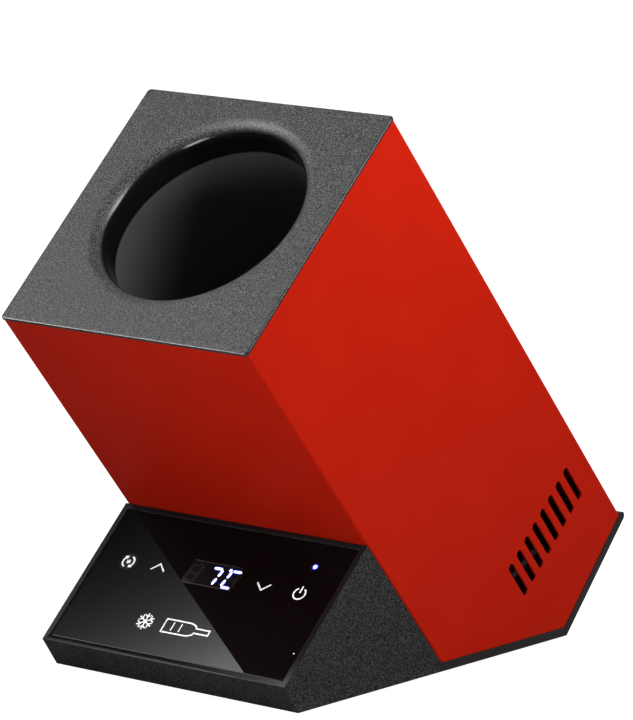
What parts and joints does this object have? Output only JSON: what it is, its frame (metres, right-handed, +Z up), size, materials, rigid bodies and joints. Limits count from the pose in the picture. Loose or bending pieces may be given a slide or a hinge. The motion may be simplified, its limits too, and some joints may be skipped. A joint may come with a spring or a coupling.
{
  "type": "wine cooler",
  "caption": "Tabletop bottle cooler: a square red steel body leaning back over a black control pod with a glass touch panel, and a round chamber open at the top.",
  "frame": {"origin": "on the surface it stands on, at the middle of the box around the whole object", "axes": "+Z up, -Y is the front with the touch panel, X is the width; the body leans so that its mouth faces up and to the front"},
  "size_m": [0.1408, 0.3012, 0.2645],
  "materials": {
    "red_paint": "satin powder-coated sheet steel, red",
    "black_texture": "black moulded plastic with a fine spark texture",
    "liner": "black anodised aluminium, glossy",
    "rubber": "matt rubber",
    "foam": "expanded polystyrene",
    "aluminium": "milled and extruded aluminium",
    "ceramic": "alumina ceramic plates",
    "gasket": "closed-cell foam",
    "screw_steel": "zinc-plated steel",
    "fan_plastic": "black glass-filled plastic",
    "washer_plastic": "natural nylon",
    "black_glass": "black back-printed tempered glass with white key marks",
    "tape": "black adhesive foam tape",
    "circuit_board": "green solder resist",
    "display": "grey-black display body, blue-white segments",
    "led": "clear blue LED",
    "spring_brass": "plated spring wire",
    "electronic": "connector nylon, capacitor sleeves and chip bodies",
    "jack_plastic": "black plastic socket",
    "lead_sheath": "soft vinyl wire sheath",
    "ribbon": "white flat flexible cable"
  },
  "bodies": {
    "cooler": {"outer_shell": "red_paint", "top_cover": "black_texture", "cover_screws": "screw_steel", "chamber_liner": "liner", "liner_screws": "screw_steel", "bottle_pad": "rubber", "insulation_left": "foam", "insulation_right": "foam", "cold_block": "aluminium", "block_screws": "screw_steel", "temperature_probe": "screw_steel", "peltier_module": "ceramic", "peltier_gasket": "gasket", "heat_sink": "aluminium", "clamp_screws": "screw_steel", "clamp_washers": "washer_plastic", "fan_frame": "fan_plastic", "fan_screws": "screw_steel", "control_housing": "black_texture", "touch_glass": "black_glass", "glass_tape": "tape", "display_board": "circuit_board", "display_screws": "screw_steel", "digit_display": "display", "status_led": "led", "touch_springs": "spring_brass", "main_board": "circuit_board", "board_parts": "electronic", "board_screws": "screw_steel", "bottom_cover": "black_texture", "base_screws": "screw_steel", "rubber_feet": "rubber", "power_inlet": "jack_plastic", "fan_lead": "lead_sheath", "peltier_leads": "lead_sheath", "probe_lead": "lead_sheath", "power_lead": "lead_sheath", "display_ribbon": "ribbon"},
    "rotor": {"fan_rotor": "fan_plastic"}
  },
  "joints": [
    {"name": "fan_spin", "type": "hinge", "parent": "cooler", "child": "rotor", "pos_m": [0, 0.09404, 0.04777], "axis": [0, -0.682, 0.7314], "continuous": true}
  ]
}
